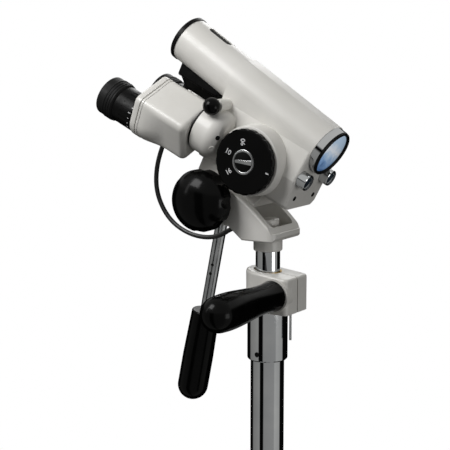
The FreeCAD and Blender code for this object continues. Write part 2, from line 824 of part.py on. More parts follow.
def magnification():
    rear = V(MAG_X, -(MAG_FACE + RUN), MAG_W)
    edge = 1.6
    thick = MAG_KNOB_THICK
    hold = MAG_SHAFT_R + SEAT
    deep = thick - MAG_KNOB_FACE
    side = [
        (hold, 0),
        (MAG_KNOB_R - 1.0, 0),
        (MAG_KNOB_R, 1.0),
        (MAG_KNOB_R, thick - edge),
        (MAG_KNOB_R - edge, thick),
        (MAG_RING_R, thick),
        (MAG_RING_R, thick - MAG_RING_SINK),
        (0, thick - MAG_RING_SINK),
        (0, deep + SEAT),
        (hold, deep + SEAT),
    ]
    knob = turned_polygon(side, rear, -Y_AXIS)
    flute_r = 4.5
    flute = rod(
        rear + V(MAG_KNOB_R + flute_r - 0.8, 0, 0), -Y_AXIS, flute_r, MAG_KNOB_THICK
    )
    for cutter in ring_of(flute, MAG_FLUTES, rear, Y_AXIS):
        knob = knob.cut(cutter)
    save("mag_knob", knob, HEAD)

    far_end = DRUM_HALF
    shaft_at = rear + V(0, -deep, 0)
    save("mag_shaft", rod(shaft_at, Y_AXIS, MAG_SHAFT_R, -shaft_at.y + far_end), HEAD)

    centre = V(MAG_X, 0, MAG_W)
    side_at = centre + V(0, -DRUM_HALF, 0)
    drum = rod(side_at, Y_AXIS, DRUM_R, 2 * DRUM_HALF)
    hollow_at = centre + V(0, -DRUM_HALF + DRUM_WALL, 0)
    hollow = 2 * (DRUM_HALF - DRUM_WALL)
    drum = drum.cut(rod(hollow_at, Y_AXIS, DRUM_R - DRUM_WALL, hollow))
    drum = drum.cut(rod(side_at, Y_AXIS, MAG_SHAFT_R + SEAT, 2 * DRUM_HALF))
    glass = DRUM_PORT_R - SEAT
    lenses = []
    for y in (-DRUM_PORT_Y, DRUM_PORT_Y):
        port = rod(centre + V(-DRUM_R, y, 0), X_AXIS, DRUM_PORT_R, 2 * DRUM_R)
        for cutter in ring_of(port, 6, centre, Y_AXIS)[:3]:
            drum = drum.cut(cutter)
        disc = rod(centre + V(DRUM_R - DRUM_WALL, y, 0), X_AXIS, glass, DRUM_WALL / 2)
        lenses += ring_of(disc, 6, centre, Y_AXIS)[1:3]
        lenses += ring_of(disc, 6, centre, Y_AXIS)[4:6]
    save("lens_drum", drum, HEAD)
    save("drum_lenses", Part.makeCompound(lenses), HEAD)


def filter_knob():
    centre = V(FILTER_X, -FILTER_BALL_Y, FILTER_W)
    ball = Part.makeSphere(FILTER_BALL_R, centre)
    deep = FILTER_BALL_R
    ball = ball.cut(
        rod(centre + V(0, deep, 0), -Y_AXIS, FILTER_SHAFT_R + SEAT, deep + SEAT)
    )
    save("filter_ball", ball, HEAD)
    disc_half = FILTER_DISC_THICK / 2
    shaft = rod(centre, Y_AXIS, FILTER_SHAFT_R, FILTER_BALL_Y + FILTER_DISC_R / 2)
    save("filter_shaft", shaft, HEAD)
    # The disc stands across the beam, on a lug that clips round the shaft
    reach = FILTER_DISC_R + FILTER_SHAFT_R
    disc_at = V(FILTER_X - disc_half, 0, FILTER_W + reach)
    disc = rod(disc_at, X_AXIS, FILTER_DISC_R, FILTER_DISC_THICK)
    clip = rod(V(FILTER_X, -5.0, FILTER_W), Y_AXIS, FILTER_SHAFT_R + 1.5, 10.0)
    disc = disc.fuse(clip)
    disc = disc.cut(
        rod(V(FILTER_X, -10.0, FILTER_W), Y_AXIS, FILTER_SHAFT_R + SEAT, 20.0)
    )
    save("filter_disc", disc, HEAD)


def in_head(shape):
    return moved(shape, PRISM_IN_HEAD)


def eye_rod(x0, x1, radius, bore=0.0):
    return rod(V(x0, -EYE_Y, EYE_W), X_AXIS, radius, x1 - x0, bore)


def prism_housings():
    gasket = neck(NECK_R - GASKET_INSET, HEAD_REAR - GASKET, HEAD_REAR)
    gasket = gasket.cut(neck(NECK_BORE_R, HEAD_REAR - GASKET, HEAD_REAR))
    save_pair("neck_gasket", gasket)

    half = PRISM_SIZE / 2
    body = rounded_bar(PRISM_REAR, PRISM_FRONT, half)
    body = soften(body, 1.5, lambda edge: edge.CenterOfMass.x > PRISM_FRONT - 0.1)
    cavity = rounded_bar(PRISM_REAR, PRISM_FRONT - PRISM_WALL, half, PRISM_WALL)
    body = in_head(body.cut(cavity))
    tube_end = PRISM_FRONT + NECK_TUBE_LENGTH
    body = body.fuse(neck(NECK_TUBE_R, PRISM_FRONT - PRISM_WALL, tube_end))
    hole = NECK_TUBE_R - NECK_TUBE_WALL
    body = body.cut(neck(hole, PRISM_FRONT - PRISM_WALL, tube_end))
    save_pair("prism_housing", body)

    groove = GROOVE * 2
    cover = rounded_bar(COVER_REAR, PRISM_REAR - groove, half)
    cover = soften(
        cover, COVER_ROUND, lambda edge: edge.CenterOfMass.x < COVER_REAR + 0.1
    )
    lip = rounded_bar(PRISM_REAR - groove, PRISM_REAR, half, groove)
    cover = in_head(cover.fuse(lip))
    boss = eye_rod(COVER_REAR, PRISM_REAR - groove, EYE_BOSS_R)
    cover = cover.fuse(boss)
    tube_rear = COVER_REAR - EYE_TUBE_LENGTH
    cover = cover.fuse(eye_rod(tube_rear, COVER_REAR, EYE_TUBE_R))
    cover = cover.cut(eye_rod(tube_rear, PRISM_REAR, EYE_BORE_R))
    save_pair("rear_cover", cover)

    front_wall = PRISM_FRONT - PRISM_WALL
    pair = [porro(front_wall, -1, 0), porro(PRISM_REAR, 1, 90)]
    save_pair("prisms", Part.makeCompound(pair))


def porro(face_x, side, turn):
    # A right-angle prism whose long face lies on a wall of the housing
    half = PORRO_LEG * math.sqrt(0.5)
    tip = side * (half - PORRO_GAP / 2)
    points = [V(face_x, -half, 0), V(face_x, half, 0), V(face_x + side * half, 0, 0)]
    face = Part.Face(Part.makePolygon(points + points[:1]))
    prism = face.extrude(V(0, 0, PORRO_DEEP))
    prism.translate(V(0, 0, -PORRO_DEEP / 2))
    trim = box(
        min(face_x, face_x + tip), max(face_x, face_x + tip), -half, half,
        -PORRO_DEEP, PORRO_DEEP,
    )
    prism = prism.common(trim)
    prism.rotate(V(0, 0, 0), X_AXIS, turn)
    return in_head(prism)


def eyepieces():
    tube_rear = COVER_REAR - EYE_TUBE_LENGTH
    front = COVER_REAR - RUN
    rear = front - DIOPTRE_LENGTH
    at = V(0, -EYE_Y, EYE_W)
    inner = EYE_TUBE_R + RUN
    seat = OCULAR_R + SEAT
    step = tube_rear - RUN
    ring = [
        (inner, front),
        (DIOPTRE_R - 0.8, front),
        (DIOPTRE_R, front - 0.8),
        (DIOPTRE_R, rear + 0.8),
        (DIOPTRE_R - 0.8, rear),
        (seat, rear),
        (seat, rear + OCULAR_EDGE),
        (OCULAR_R - 1.5, rear + OCULAR_EDGE),
        (OCULAR_R - 1.5, step),
        (inner, step),
    ]
    body = turned_polygon(ring, at, X_AXIS)
    notch = box(
        rear + 0.4 * DIOPTRE_LENGTH, front - 2.0, DIOPTRE_R - 0.5, DIOPTRE_R + 1,
        -0.7, 0.7,
    )
    notch.translate(at)
    for cutter in ring_of(notch, DIOPTRE_SERRATIONS, at, X_AXIS):
        body = body.cut(cutter)
    save_pair("dioptre_ring", body)

    rim = rear - CUP_LENGTH
    cup_in = CUP_R - CUP_WALL
    cup = [
        line((OCULAR_R, rear), (DIOPTRE_R - 0.5, rear)),
        line((DIOPTRE_R - 0.5, rear), (CUP_R, rear - 2.0)),
        line((CUP_R, rear - 2.0), (CUP_R, rim + 2.0)),
        arc((CUP_R, rim + 2.0), (CUP_R - 1.5, rim), (CUP_R - 3.5, rim + 1.0)),
        line((CUP_R - 3.5, rim + 1.0), (cup_in - 2.0, rear - 6.0)),
        line((cup_in - 2.0, rear - 6.0), (OCULAR_R, rear - 2.0)),
        line((OCULAR_R, rear - 2.0), (OCULAR_R, rear)),
    ]
    save_pair("eyecup", turned(cup, at, X_AXIS))
    glass = [
        line((0, rear + 0.5), (0, rear + OCULAR_EDGE)),
        line((0, rear + OCULAR_EDGE), (OCULAR_R, rear + OCULAR_EDGE)),
        line((OCULAR_R, rear + OCULAR_EDGE), (OCULAR_R, rear + 1.5)),
        crown(OCULAR_R, rear + 1.5, rear + 0.5),
    ]
    save_pair("eye_lens", turned(glass, at, X_AXIS))


def tilt_clamp():
    pivot = V(PIVOT_X, 0, PIVOT_Z)
    rear = pivot + V(0, -TILT_KNOB_FROM, 0)
    hold = PIVOT_R + RUN
    deep = TILT_HOLD + RUN
    rim = TILT_KNOB_RIM
    top = rim + TILT_KNOB_DOME
    dome = [
        (TILT_KNOB_R, rim),
        (0.86 * TILT_KNOB_R, rim + 0.45 * TILT_KNOB_DOME),
        (0.5 * TILT_KNOB_R, rim + 0.87 * TILT_KNOB_DOME),
        (0, top),
    ]
    edges = [
        line((hold, 0), (TILT_KNOB_R - 3.0, 0)),
        line((TILT_KNOB_R - 3.0, 0), (TILT_KNOB_R, 2.0)),
        line((TILT_KNOB_R, 2.0), (TILT_KNOB_R, rim)),
        smooth(dome),
        line((0, top), (0, deep)),
        line((0, deep), (hold, deep)),
        line((hold, deep), (hold, 0)),
    ]
    knob = turned(edges, rear, -Y_AXIS)
    dent_r = 12.0
    dent = rod(rear + V(TILT_KNOB_R + dent_r - 2.0, 0, 0), -Y_AXIS, dent_r, top)
    for cutter in ring_of(dent, TILT_LOBES, rear, Y_AXIS):
        knob = knob.cut(cutter)
    save("tilt_knob", knob)

    hub_end = HUB_Y + RUN + HUB_THICK
    shaft_at = pivot + V(0, -TILT_KNOB_FROM - TILT_HOLD, 0)
    save("pivot_shaft", rod(shaft_at, Y_AXIS, PIVOT_R, hub_end - shaft_at.y))
    washer_at = pivot + V(0, -YOKE_HALF - RUN, 0)
    thick = TILT_KNOB_FROM - YOKE_HALF - 2 * RUN
    save("knob_washer", rod(washer_at, -Y_AXIS, WASHER_R, thick, PIVOT_R + SEAT))


def tilt_handle():
    hub_at = V(PIVOT_X, HUB_Y + RUN, PIVOT_Z)
    socket_at = V(ROD_AT.x, HUB_Y + RUN, ROD_AT.z)
    hub = rod(hub_at, Y_AXIS, HUB_R, HUB_THICK)
    arm = box(
        ROD_AT.x, PIVOT_X, hub_at.y, hub_at.y + HUB_THICK,
        PIVOT_Z - ROD_SOCKET_R, PIVOT_Z + ROD_SOCKET_R,
    )
    bracket = hub.fuse(arm).fuse(rod(socket_at, Y_AXIS, ROD_SOCKET_R, HUB_THICK))
    low = ROD_AT - ROD_UP * ROD_SOCKET_DOWN
    length = ROD_SOCKET_DOWN + ROD_SOCKET_UP
    bracket = bracket.fuse(rod(low, ROD_UP, ROD_SOCKET_R, length))
    wall = ROD_SOCKET_R - ROD_R
    bracket = bracket.cut(rod(low, ROD_UP, ROD_R + SEAT, length - wall))
    bracket = bracket.cut(rod(hub_at, Y_AXIS, PIVOT_R + SEAT, HUB_THICK))
    save("rod_bracket", bracket)

    rod_top = ROD_AT + ROD_UP * (ROD_SOCKET_UP - wall - SEAT)
    in_grip = 0.3 * GRIP_LENGTH
    rod_length = GRIP_TOP + in_grip + ROD_SOCKET_UP - wall - SEAT
    save("handle_rod", rod(rod_top, -ROD_UP, ROD_R, rod_length))

    grip_at = ROD_AT - ROD_UP * GRIP_TOP
    hold = ROD_R + SEAT
    deep = in_grip + SEAT
    start = GRIP_LENGTH - GRIP_R
    bend = math.sqrt(0.5) * GRIP_R
    edges = [
        line((hold, 0), (GRIP_R - 3.5, 0)),
        arc((GRIP_R - 3.5, 0), (GRIP_R - 2.0, 0.6), (GRIP_R - 1.4, 2.0)),
        line((GRIP_R - 1.4, 2.0), (GRIP_R, 0.6 * start)),
        line((GRIP_R, 0.6 * start), (GRIP_R, start)),
        arc((GRIP_R, start), (bend, start + bend), (0, GRIP_LENGTH)),
        line((0, GRIP_LENGTH), (0, deep)),
        line((0, deep), (hold, deep)),
        line((hold, deep), (hold, 0)),
    ]
    save("grip", turned(edges, grip_at, -ROD_UP))


# The light cord's route in the stand frame, between its two glands
CORD_FIRST = 33.0
CORD_ROUTE = (
    (-132.0, 104.5),
    (-143.0, 74.0),
    (-142.0, 45.0),
    (-124.5, 18.0),
    (-95.0, 4.5),
    (-63.0, 6.5),
)
CORD_LAST = 18.0


def cord():
    down = V(0, 0, -GLAND_LENGTH)
    to_stand = STAND.inverse().multiply(HEAD)
    start = to_stand.multVec(gland_top() + down)
    second = to_stand.multVec(gland_top() + down + V(0, 0, -CORD_FIRST))
    end = gland_face()
    route = [start, second]
    route += [V(x, 0, z) for x, z in CORD_ROUTE]
    route += [end - V(CORD_LAST, 0, 0), end]

    edges = []
    last = start
    for before, corner, after in zip(route, route[1:], route[2:]):
        back = before - corner
        ahead = after - corner
        half_turn = (math.pi - back.getAngle(ahead)) / 2
        trim = 0.45 * min(back.Length, ahead.Length)
        radius = trim / math.tan(half_turn)
        back.normalize()
        ahead.normalize()
        enter = corner + back * trim
        leave = corner + ahead * trim
        middle = back + ahead
        middle.normalize()
        middle = corner + middle * (radius / math.cos(half_turn) - radius)
        edges.append(Part.makeLine(last, enter))
        edges.append(Part.Arc(enter, middle, leave).toShape())
        last = leave
        print("bend radius", round(radius, 1))
    edges.append(Part.makeLine(last, end))
    path = Part.Wire(edges)
    ring = Part.Wire(Part.makeCircle(CORD_R, start, route[1] - start))
    tube = path.makePipeShell([ring], True, True)
    print("cord length", round(path.Length, 1), "volume", round(tube.Volume, 1))
    print("section times length", round(math.pi * CORD_R**2 * path.Length, 1))
    for point in route:
        print("route", [round(v, 2) for v in STAND.multVec(point)])
    save("light_cord", tube)


column()
clamp_block()
clamp_lever()
stem()
yoke()
housing()
lug()
lamp_tube()
bezel()
socket_box()
objectives()
magnification()
filter_knob()
prism_housings()
eyepieces()
tilt_clamp()
tilt_handle()
cord()
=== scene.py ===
import math

import bmesh
import bpy
from mathutils import Matrix, Vector


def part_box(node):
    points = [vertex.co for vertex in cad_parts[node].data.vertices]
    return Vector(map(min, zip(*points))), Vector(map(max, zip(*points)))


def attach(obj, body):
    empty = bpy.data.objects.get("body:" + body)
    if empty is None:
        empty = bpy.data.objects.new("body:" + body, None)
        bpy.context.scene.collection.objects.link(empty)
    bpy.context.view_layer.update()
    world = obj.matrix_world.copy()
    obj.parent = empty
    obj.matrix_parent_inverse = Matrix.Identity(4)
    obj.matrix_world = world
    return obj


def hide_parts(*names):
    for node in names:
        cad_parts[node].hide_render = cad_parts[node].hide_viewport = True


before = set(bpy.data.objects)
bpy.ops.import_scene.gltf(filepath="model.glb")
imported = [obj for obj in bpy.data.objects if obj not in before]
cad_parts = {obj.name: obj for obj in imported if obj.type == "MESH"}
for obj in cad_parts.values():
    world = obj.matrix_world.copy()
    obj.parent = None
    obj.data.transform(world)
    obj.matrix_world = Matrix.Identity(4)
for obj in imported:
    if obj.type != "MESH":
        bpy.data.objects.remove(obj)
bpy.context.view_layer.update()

MM = 0.001

# Frames shared with the model, in millimetres
PIVOT = (-52.0, 0.0, 332.9)
HEAD_TILT = 25.5
LAMP_AT = (-113.2, 0.0, 126.5)
LAMP_TILT = 7.42
LAMP_NOSE = 197.0
EYE_Y, EYE_W = 45.0, 43.2


def at(x, y, z):
    return Matrix.Translation(Vector((x, y, z)) * MM)


def turn(degrees, axis):
    return Matrix.Rotation(math.radians(degrees), 4, axis)


HEAD = at(*PIVOT) @ turn(HEAD_TILT, "Y")
LAMP = HEAD @ at(*LAMP_AT) @ turn(LAMP_TILT, "Y")
NEAR_SIDE = turn(90, "X")
FAR_SIDE = turn(-90, "X")
FRONT = turn(90, "Y")


# Camera: its bearing and height in degrees, its place and its lens in millimetres

VIEW_SIDE = 33.0
VIEW_LIFT = 9.2
CAMERA_AT = (719.3, -1188.8, 531.0)
CAMERA_LENS = 109.6
SENSOR_WIDTH = 36.0


def set_camera():
    back = turn(VIEW_SIDE, "Z") @ turn(-VIEW_LIFT, "X") @ Vector((0, -1, 0))
    right = turn(VIEW_SIDE, "Z") @ Vector((1, 0, 0))
    rows = Matrix((right, back.cross(right), back))
    data = bpy.data.cameras.new("camera")
    data.sensor_width = SENSOR_WIDTH
    data.lens = CAMERA_LENS
    data.clip_end = 60.0
    camera = bpy.data.objects.new("camera", data)
    bpy.context.collection.objects.link(camera)
    camera.matrix_world = at(*CAMERA_AT) @ rows.transposed().to_4x4()
    bpy.context.scene.camera = camera


# Shaders

def linear(colour):
    """The linear values of an sRGB hex colour."""
    channels = [int(colour[i : i + 2], 16) / 255 for i in (0, 2, 4)]
    return tuple(
        c / 12.92 if c <= 0.04045 else ((c + 0.055) / 1.055) ** 2.4 for c in channels
    ) + (1.0,)


def per_mm(size):
    """A texture's scale, in repeats a metre, for a feature of so many millimetres."""
    return 1.0 / (size * MM)


def add(tree, kind, settings, inputs):
    """Adds a node with its settings, its numbers and its links."""
    node = tree.nodes.new(kind)
    for name, value in settings.items():
        setattr(node, name, value)
    for name, value in inputs.items():
        if isinstance(value, bpy.types.NodeSocket):
            tree.links.new(value, node.inputs[name])
        else:
            node.inputs[name].default_value = value
    return node


def spread(ramp, stops):
    """Sets a colour ramp's stops, each a place and an sRGB hex colour."""
    band = ramp.color_ramp
    while len(band.elements) < len(stops):
        band.elements.new(0.5)
    for element, (place, colour) in zip(band.elements, stops):
        element.position = place
        element.color = linear(colour)
    return ramp.outputs["Color"]


def start_material(name, **fixed):
    material = bpy.data.materials.new(name)
    material.use_nodes = True
    tree = material.node_tree
    shader = tree.nodes["Principled BSDF"]
    for socket, value in fixed.items():
        shader.inputs[socket.replace("_", " ")].default_value = value
    place = add(tree, "ShaderNodeTexCoord", {}, {}).outputs["Object"]
    return material, tree, shader, place


def finish_surface(name, tones, tone_mm, rough, rough_mm, grain, **fixed):
    """A finish whose colour, gloss and relief each wander at their own size.

    grain is the relief's size and height in millimetres and its share.
    """
    material, tree, shader, place = start_material(name, **fixed)
    clouds = add(
        tree, "ShaderNodeTexNoise", {}, {"Vector": place, "Scale": per_mm(tone_mm), "Detail": 3.0}
    )
    ramp = add(tree, "ShaderNodeValToRGB", {}, {"Fac": clouds.outputs["Fac"]})
    tree.links.new(spread(ramp, [(0.35, tones[0]), (0.65, tones[1])]), shader.inputs["Base Color"])
    wipes = add(
        tree, "ShaderNodeTexNoise", {}, {"Vector": place, "Scale": per_mm(rough_mm), "Detail": 5.0}
    )
    gloss = add(
        tree,
        "ShaderNodeMapRange",
        {},
        {
            "Value": wipes.outputs["Fac"],
            "From Min": 0.3,
            "From Max": 0.7,
            "To Min": rough[0],
            "To Max": rough[1],
        },
    )
    tree.links.new(gloss.outputs["Result"], shader.inputs["Roughness"])
    size, height, share = grain
    relief = add(
        tree, "ShaderNodeTexNoise", {}, {"Vector": place, "Scale": per_mm(size), "Detail": 2.0}
    )
    bump = add(
        tree,
        "ShaderNodeBump",
        {},
        {"Height": relief.outputs["Fac"], "Strength": share, "Distance": height * MM},
    )
    tree.links.new(bump.outputs["Normal"], shader.inputs["Normal"])
    return material


def stoved_enamel():
    # Sprayed and baked on cast aluminium: a warm white gloss, with an orange peel 2.5 mm across
    return finish_surface(
        "stoved_enamel",
        ("DAD8D2", "E2E0DB"),
        60.0,
        (0.34, 0.44),
        25.0,
        (2.5, 0.02, 0.35),
        IOR=1.5,
        Coat_Weight=0.12,
        Coat_Roughness=0.12,
    )


def chrome_plate():
    # Bright plate on a polished tube: a hard mirror with faint wiping marks
    return finish_surface(
        "chrome_plate",
        ("BDBFC1", "CBCCCD"),
        40.0,
        (0.03, 0.06),
        12.0,
        (20.0, 0.004, 0.08),
        Metallic=1.0,
    )


def satin_chrome():
    # Flat ground bar under thin plate: softer reflections, uneven from the grinding
    return finish_surface(
        "satin_chrome",
        ("A2A4A5", "BCBDBE"),
        18.0,
        (0.18, 0.26),
        9.0,
        (5.0, 0.004, 0.2),
        Metallic=1.0,
    )


def ground_steel():
    # Turned and ground steel: grey, with a fine tooth left by the wheel
    return finish_surface(
        "ground_steel",
        ("8E8F91", "A9AAAB"),
        10.0,
        (0.25, 0.38),
        3.0,
        (1.2, 0.01, 0.5),
        Metallic=1.0,
    )


def turned_brass():
    # Bright turned brass, a little tarnished
    return finish_surface(
        "turned_brass",
        ("A98B4C", "C6A766"),
        8.0,
        (0.22, 0.36),
        3.0,
        (1.2, 0.01, 0.5),
        Metallic=1.0,
    )


def cast_aluminium():
    # Tumbled aluminium: pale and matt with a sandy skin
    return finish_surface(
        "cast_aluminium",
        ("A5A6A8", "B9BABC"),
        12.0,
        (0.35, 0.5),
        4.0,
        (1.0, 0.02, 0.5),
        Metallic=1.0,
    )


def moulded_phenolic():
    # Compression-moulded and polished: a deep black with faint reflections and rubbed patches
    return finish_surface(
        "moulded_phenolic",
        ("030303", "060606"),
        30.0,
        (0.14, 0.26),
        14.0,
        (3.0, 0.01, 0.4),
        IOR=1.4,
        Specular_IOR_Level=0.12,
        Coat_Weight=0.04,
        Coat_Roughness=0.05,
    )


def black_anodised():
    # Anodised turned aluminium: a satin black that lightens a little where light grazes it
    return finish_surface(
        "black_anodised",
        ("040404", "090909"),
        15.0,
        (0.32, 0.45),
        5.0,
        (1.5, 0.01, 0.4),
        IOR=1.4,
        Specular_IOR_Level=0.15,
    )


def moulded_rubber():
    # Moulded rubber: dull, with a fine skin grain drawn 1.5 mm across so that it shows
    return finish_surface(
        "moulded_rubber",
        ("060606", "0C0C0C"),
        18.0,
        (0.5, 0.66),
        6.0,
        (1.5, 0.03, 0.5),
        IOR=1.5,
        Specular_IOR_Level=0.2,
    )


def pvc_cord():
    # Extruded PVC sheath: smooth and slightly greasy, with a faint ripple of the cores inside
    return finish_surface(
        "pvc_cord",
        ("040404", "080808"),
        20.0,
        (0.34, 0.46),
        8.0,
        (3.0, 0.03, 0.5),
        IOR=1.54,
    )


def steatite():
    # Pressed ceramic of a lamp holder: ivory and dull
    return finish_surface(
        "steatite",
        ("CFC8B8", "DCD6C8"),
        8.0,
        (0.45, 0.6),
        4.0,
        (1.0, 0.02, 0.5),
        IOR=1.6,
    )


def screen_print():
    # Printed filling of dials: flat pale ink with thin and thick patches
    return finish_surface(
        "screen_print",
        ("C2C3C4", "DCDCDC"),
        2.0,
        (0.4, 0.5),
        2.0,
        (1.0, 0.005, 0.3),
        IOR=1.5,
    )


def crown_glass():
    # Polished optical glass: a dark depth with clear reflections and a trace of bloom
    return finish_surface(
        "crown_glass",
        ("27303A", "3A4752"),
        14.0,
        (0.03, 0.07),
        10.0,
        (8.0, 0.002, 0.2),
        IOR=1.52,
        Coat_Weight=1.0,
        Coat_Roughness=0.03,
    )


def green_glass():
    # Dyed filter glass: deep green
    return finish_surface(
        "green_glass",
        ("1E6B3C", "2A8550"),
        12.0,
        (0.04, 0.08),
        8.0,
        (8.0, 0.002, 0.2),
        IOR=1.52,
        Coat_Weight=0.8,
    )


def blue_lens_painted_glow():
    # The blue coating of the front lens, with a painted reflection that pales almost to white high
    # up and deepens to blue low down, with soft streaks, and a painted glow from emission
    material, tree, shader, place = start_material(
        "blue_lens_painted_glow", IOR=1.52, Coat_Weight=1.0, Coat_Roughness=0.02
    )
    middle = LAMP @ Vector((LAMP_NOSE * MM, 0, 0))
    across = (LAMP.to_3x3() @ Vector((0, 0.35, 0.94))).normalized()
    step = add(
        tree,
        "ShaderNodeVectorMath",
        {"operation": "SUBTRACT"},
        {0: place, 1: middle},
    )
    height = add(
        tree,
        "ShaderNodeVectorMath",
        {"operation": "DOT_PRODUCT"},
        {0: step.outputs["Vector"], 1: across},
    )
    streaks = add(
        tree,
        "ShaderNodeTexNoise",
        {},
        {"Vector": place, "Scale": per_mm(14.0), "Detail": 3.0, "Distortion": 1.5},
    )
    level = add(
        tree,
        "ShaderNodeMapRange",
        {},
        {"Value": height.outputs["Value"], "From Min": -20 * MM, "From Max": 20 * MM},
    )
    mixed = add(
        tree,
        "ShaderNodeMath",
        {"operation": "MULTIPLY_ADD"},
        {0: streaks.outputs["Fac"], 1: 0.5, 2: level.outputs["Result"]},
    )
    ramp = add(tree, "ShaderNodeValToRGB", {}, {"Fac": mixed.outputs["Value"]})
    stops = [(0.2, "3F6296"), (0.45, "86ACDA"), (0.65, "BCD6F2"), (0.8, "F2F8FF"), (1.0, "C4DCF4")]
    tint_and_painted_reflection = spread(ramp, stops)
    tree.links.new(tint_and_painted_reflection, shader.inputs["Base Color"])
    # The same colour is also given out as a painted glow, though no lamp lights the lens
    tree.links.new(tint_and_painted_reflection, shader.inputs["Emission Color"])
    shader.inputs["Emission Strength"].default_value = 0.4
    gloss = add(
        tree,
        "ShaderNodeMapRange",
        {},
        {"Value": streaks.outputs["Fac"], "To Min": 0.03, "To Max": 0.09},
    )
    tree.links.new(gloss.outputs["Result"], shader.inputs["Roughness"])
    return material


# Floor, backdrop and lamps

# The floor's radius, and where it starts and ends its fade, in metres
FLOOR_R = 0.2
FADE_START, FADE_END = 0.05, 0.17


def studio_floor():
    """A pale round floor that keeps the foot's shadow and fades into the white backdrop."""
    material, tree, shader, place = start_material("studio_floor", Roughness=0.8)
    output = tree.nodes["Material Output"]
    rays = add(tree, "ShaderNodeLightPath", {}, {})
    tone = add(tree, "ShaderNodeValToRGB", {}, {"Fac": rays.outputs["Is Camera Ray"]})
    tone_stops = [(0.0, "8A8A88"), (1.0, "F4F4F2")]
    tree.links.new(spread(tone, tone_stops), shader.inputs["Base Color"])
    away = add(tree, "ShaderNodeVectorMath", {"operation": "LENGTH"}, {0: place})
    fade = add(
        tree,
        "ShaderNodeMapRange",
        {"interpolation_type": "SMOOTHSTEP"},
        {
            "Value": away.outputs["Value"],
            "From Min": FADE_START,
            "From Max": FADE_END,
            "To Min": 0.6,
        },
    )
    white = add(
        tree,
        "ShaderNodeMath",
        {"operation": "MULTIPLY"},
        {0: fade.outputs["Result"], 1: rays.outputs["Is Camera Ray"]},
    )
    glow = add(tree, "ShaderNodeEmission", {}, {"Color": (1, 1, 1, 1), "Strength": 1.0})
    either = add(
        tree,
        "ShaderNodeMixShader",
        {},
        {0: white.outputs["Value"], 1: shader.outputs["BSDF"], 2: glow.outputs["Emission"]},
    )
    tree.links.new(either.outputs["Shader"], output.inputs["Surface"])
    shape = bmesh.new()
    bmesh.ops.create_circle(shape, cap_ends=True, segments=96, radius=FLOOR_R)
    mesh = bpy.data.meshes.new("floor")
    shape.to_mesh(mesh)
    shape.free()
    floor = bpy.data.objects.new("floor", mesh)
    mesh.materials.append(material)
    bpy.context.collection.objects.link(floor)
    floor.visible_glossy = False


# What chrome mirrors: the walls at each bearing in degrees, with the camera's at 180, and above
ROOM = [
    (0, "080808"),
    (62, "0A0A0A"),
    (68, "8E8E8C"),
    (124, "A2A2A0"),
    (128, "060606"),
    (150, "060606"),
    (154, "9A9A99"),
    (224, "A2A2A1"),
    (230, "C0C0BE"),
    (270, "B4B4B2"),
    (276, "0A0A0A"),
    (360, "080808"),
]
CEILING = "D2D2D0"


def studio_world():
    """White for the camera, soft light on the object, and a room for the chrome to mirror."""
    world = bpy.data.worlds.new("studio")
    world.use_nodes = True
    bpy.context.scene.world = world
    tree = world.node_tree
    base = tree.nodes["Background"]
    output = tree.nodes["World Output"]
    way = add(tree, "ShaderNodeTexCoord", {}, {}).outputs["Generated"]
    parts = add(tree, "ShaderNodeSeparateXYZ", {}, {"Vector": way})
    sky = add(
        tree,
        "ShaderNodeMapRange",
        {},
        {
            "Value": parts.outputs["Z"],
            "From Min": -0.3,
            "From Max": 0.8,
            "To Min": 0.05,
            "To Max": 0.3,
        },
    )
    tree.links.new(sky.outputs["Result"], base.inputs["Strength"])
    base.inputs["Color"].default_value = (1, 1, 1, 1)
    bearing = add(
        tree,
        "ShaderNodeMath",
        {"operation": "ARCTAN2"},
        {0: parts.outputs["Y"], 1: parts.outputs["X"]},
    )
    to_camera = 0.5 + (90.0 - VIEW_SIDE) / 360.0
    share = add(
        tree,
        "ShaderNodeMath",
        {"operation": "MULTIPLY_ADD"},
        {0: bearing.outputs["Value"], 1: 0.5 / math.pi, 2: to_camera},
    )
    wrapped = add(tree, "ShaderNodeMath", {"operation": "FRACT"}, {0: share.outputs["Value"]})
    ramp = add(tree, "ShaderNodeValToRGB", {}, {"Fac": wrapped.outputs["Value"]})
    walls = spread(ramp, [(degrees / 360, colour) for degrees, colour in ROOM])
    upward = add(
        tree,
        "ShaderNodeMapRange",
        {"interpolation_type": "SMOOTHSTEP"},
        {"Value": parts.outputs["Z"], "From Min": 0.25, "From Max": 0.4},
    )
    above = add(
        tree,
        "ShaderNodeMix",
        {"data_type": "RGBA"},
        {"Factor": upward.outputs["Result"], "A": walls, "B": linear(CEILING)},
    )
    room = add(
        tree, "ShaderNodeBackground", {}, {"Color": above.outputs["Result"], "Strength": 1.0}
    )
    white = add(tree, "ShaderNodeBackground", {}, {"Color": (1, 1, 1, 1), "Strength": 1.0})
    rays = add(tree, "ShaderNodeLightPath", {}, {})
    mirrored = add(
        tree,
        "ShaderNodeMixShader",
        {},
        {
            0: rays.outputs["Is Glossy Ray"],
            1: base.outputs["Background"],
            2: room.outputs["Background"],
        },
    )
    seen = add(
        tree,
        "ShaderNodeMath",
        {"operation": "MAXIMUM"},
        {0: rays.outputs["Is Camera Ray"], 1: rays.outputs["Is Transmission Ray"]},
    )
    final = add(
        tree,
        "ShaderNodeMixShader",
        {},
        {0: seen.outputs["Value"], 1: mirrored.outputs["Shader"], 2: white.outputs["Background"]},
    )
    tree.links.new(final.outputs["Shader"], output.inputs["Surface"])


# Each lamp's place, aim, width and height in metres, and its power in watts
LAMPS = (
    ("key", (-0.32, -0.62, 0.98), (0.0, 0, 0.42), 0.42, 0.42, 6.1),
    ("front", (0.9, -0.1, 0.22), (0.06, 0, 0.42), 0.4, 0.4, 1.5),
    ("back", (-0.45, 0.85, 0.95), (-0.03, 0, 0.38), 0.6, 0.6, 4.0),
    ("strip", (-0.75, -0.75, 0.75), (-0.05, 0, 0.36), 0.12, 0.5, 0.5),
)


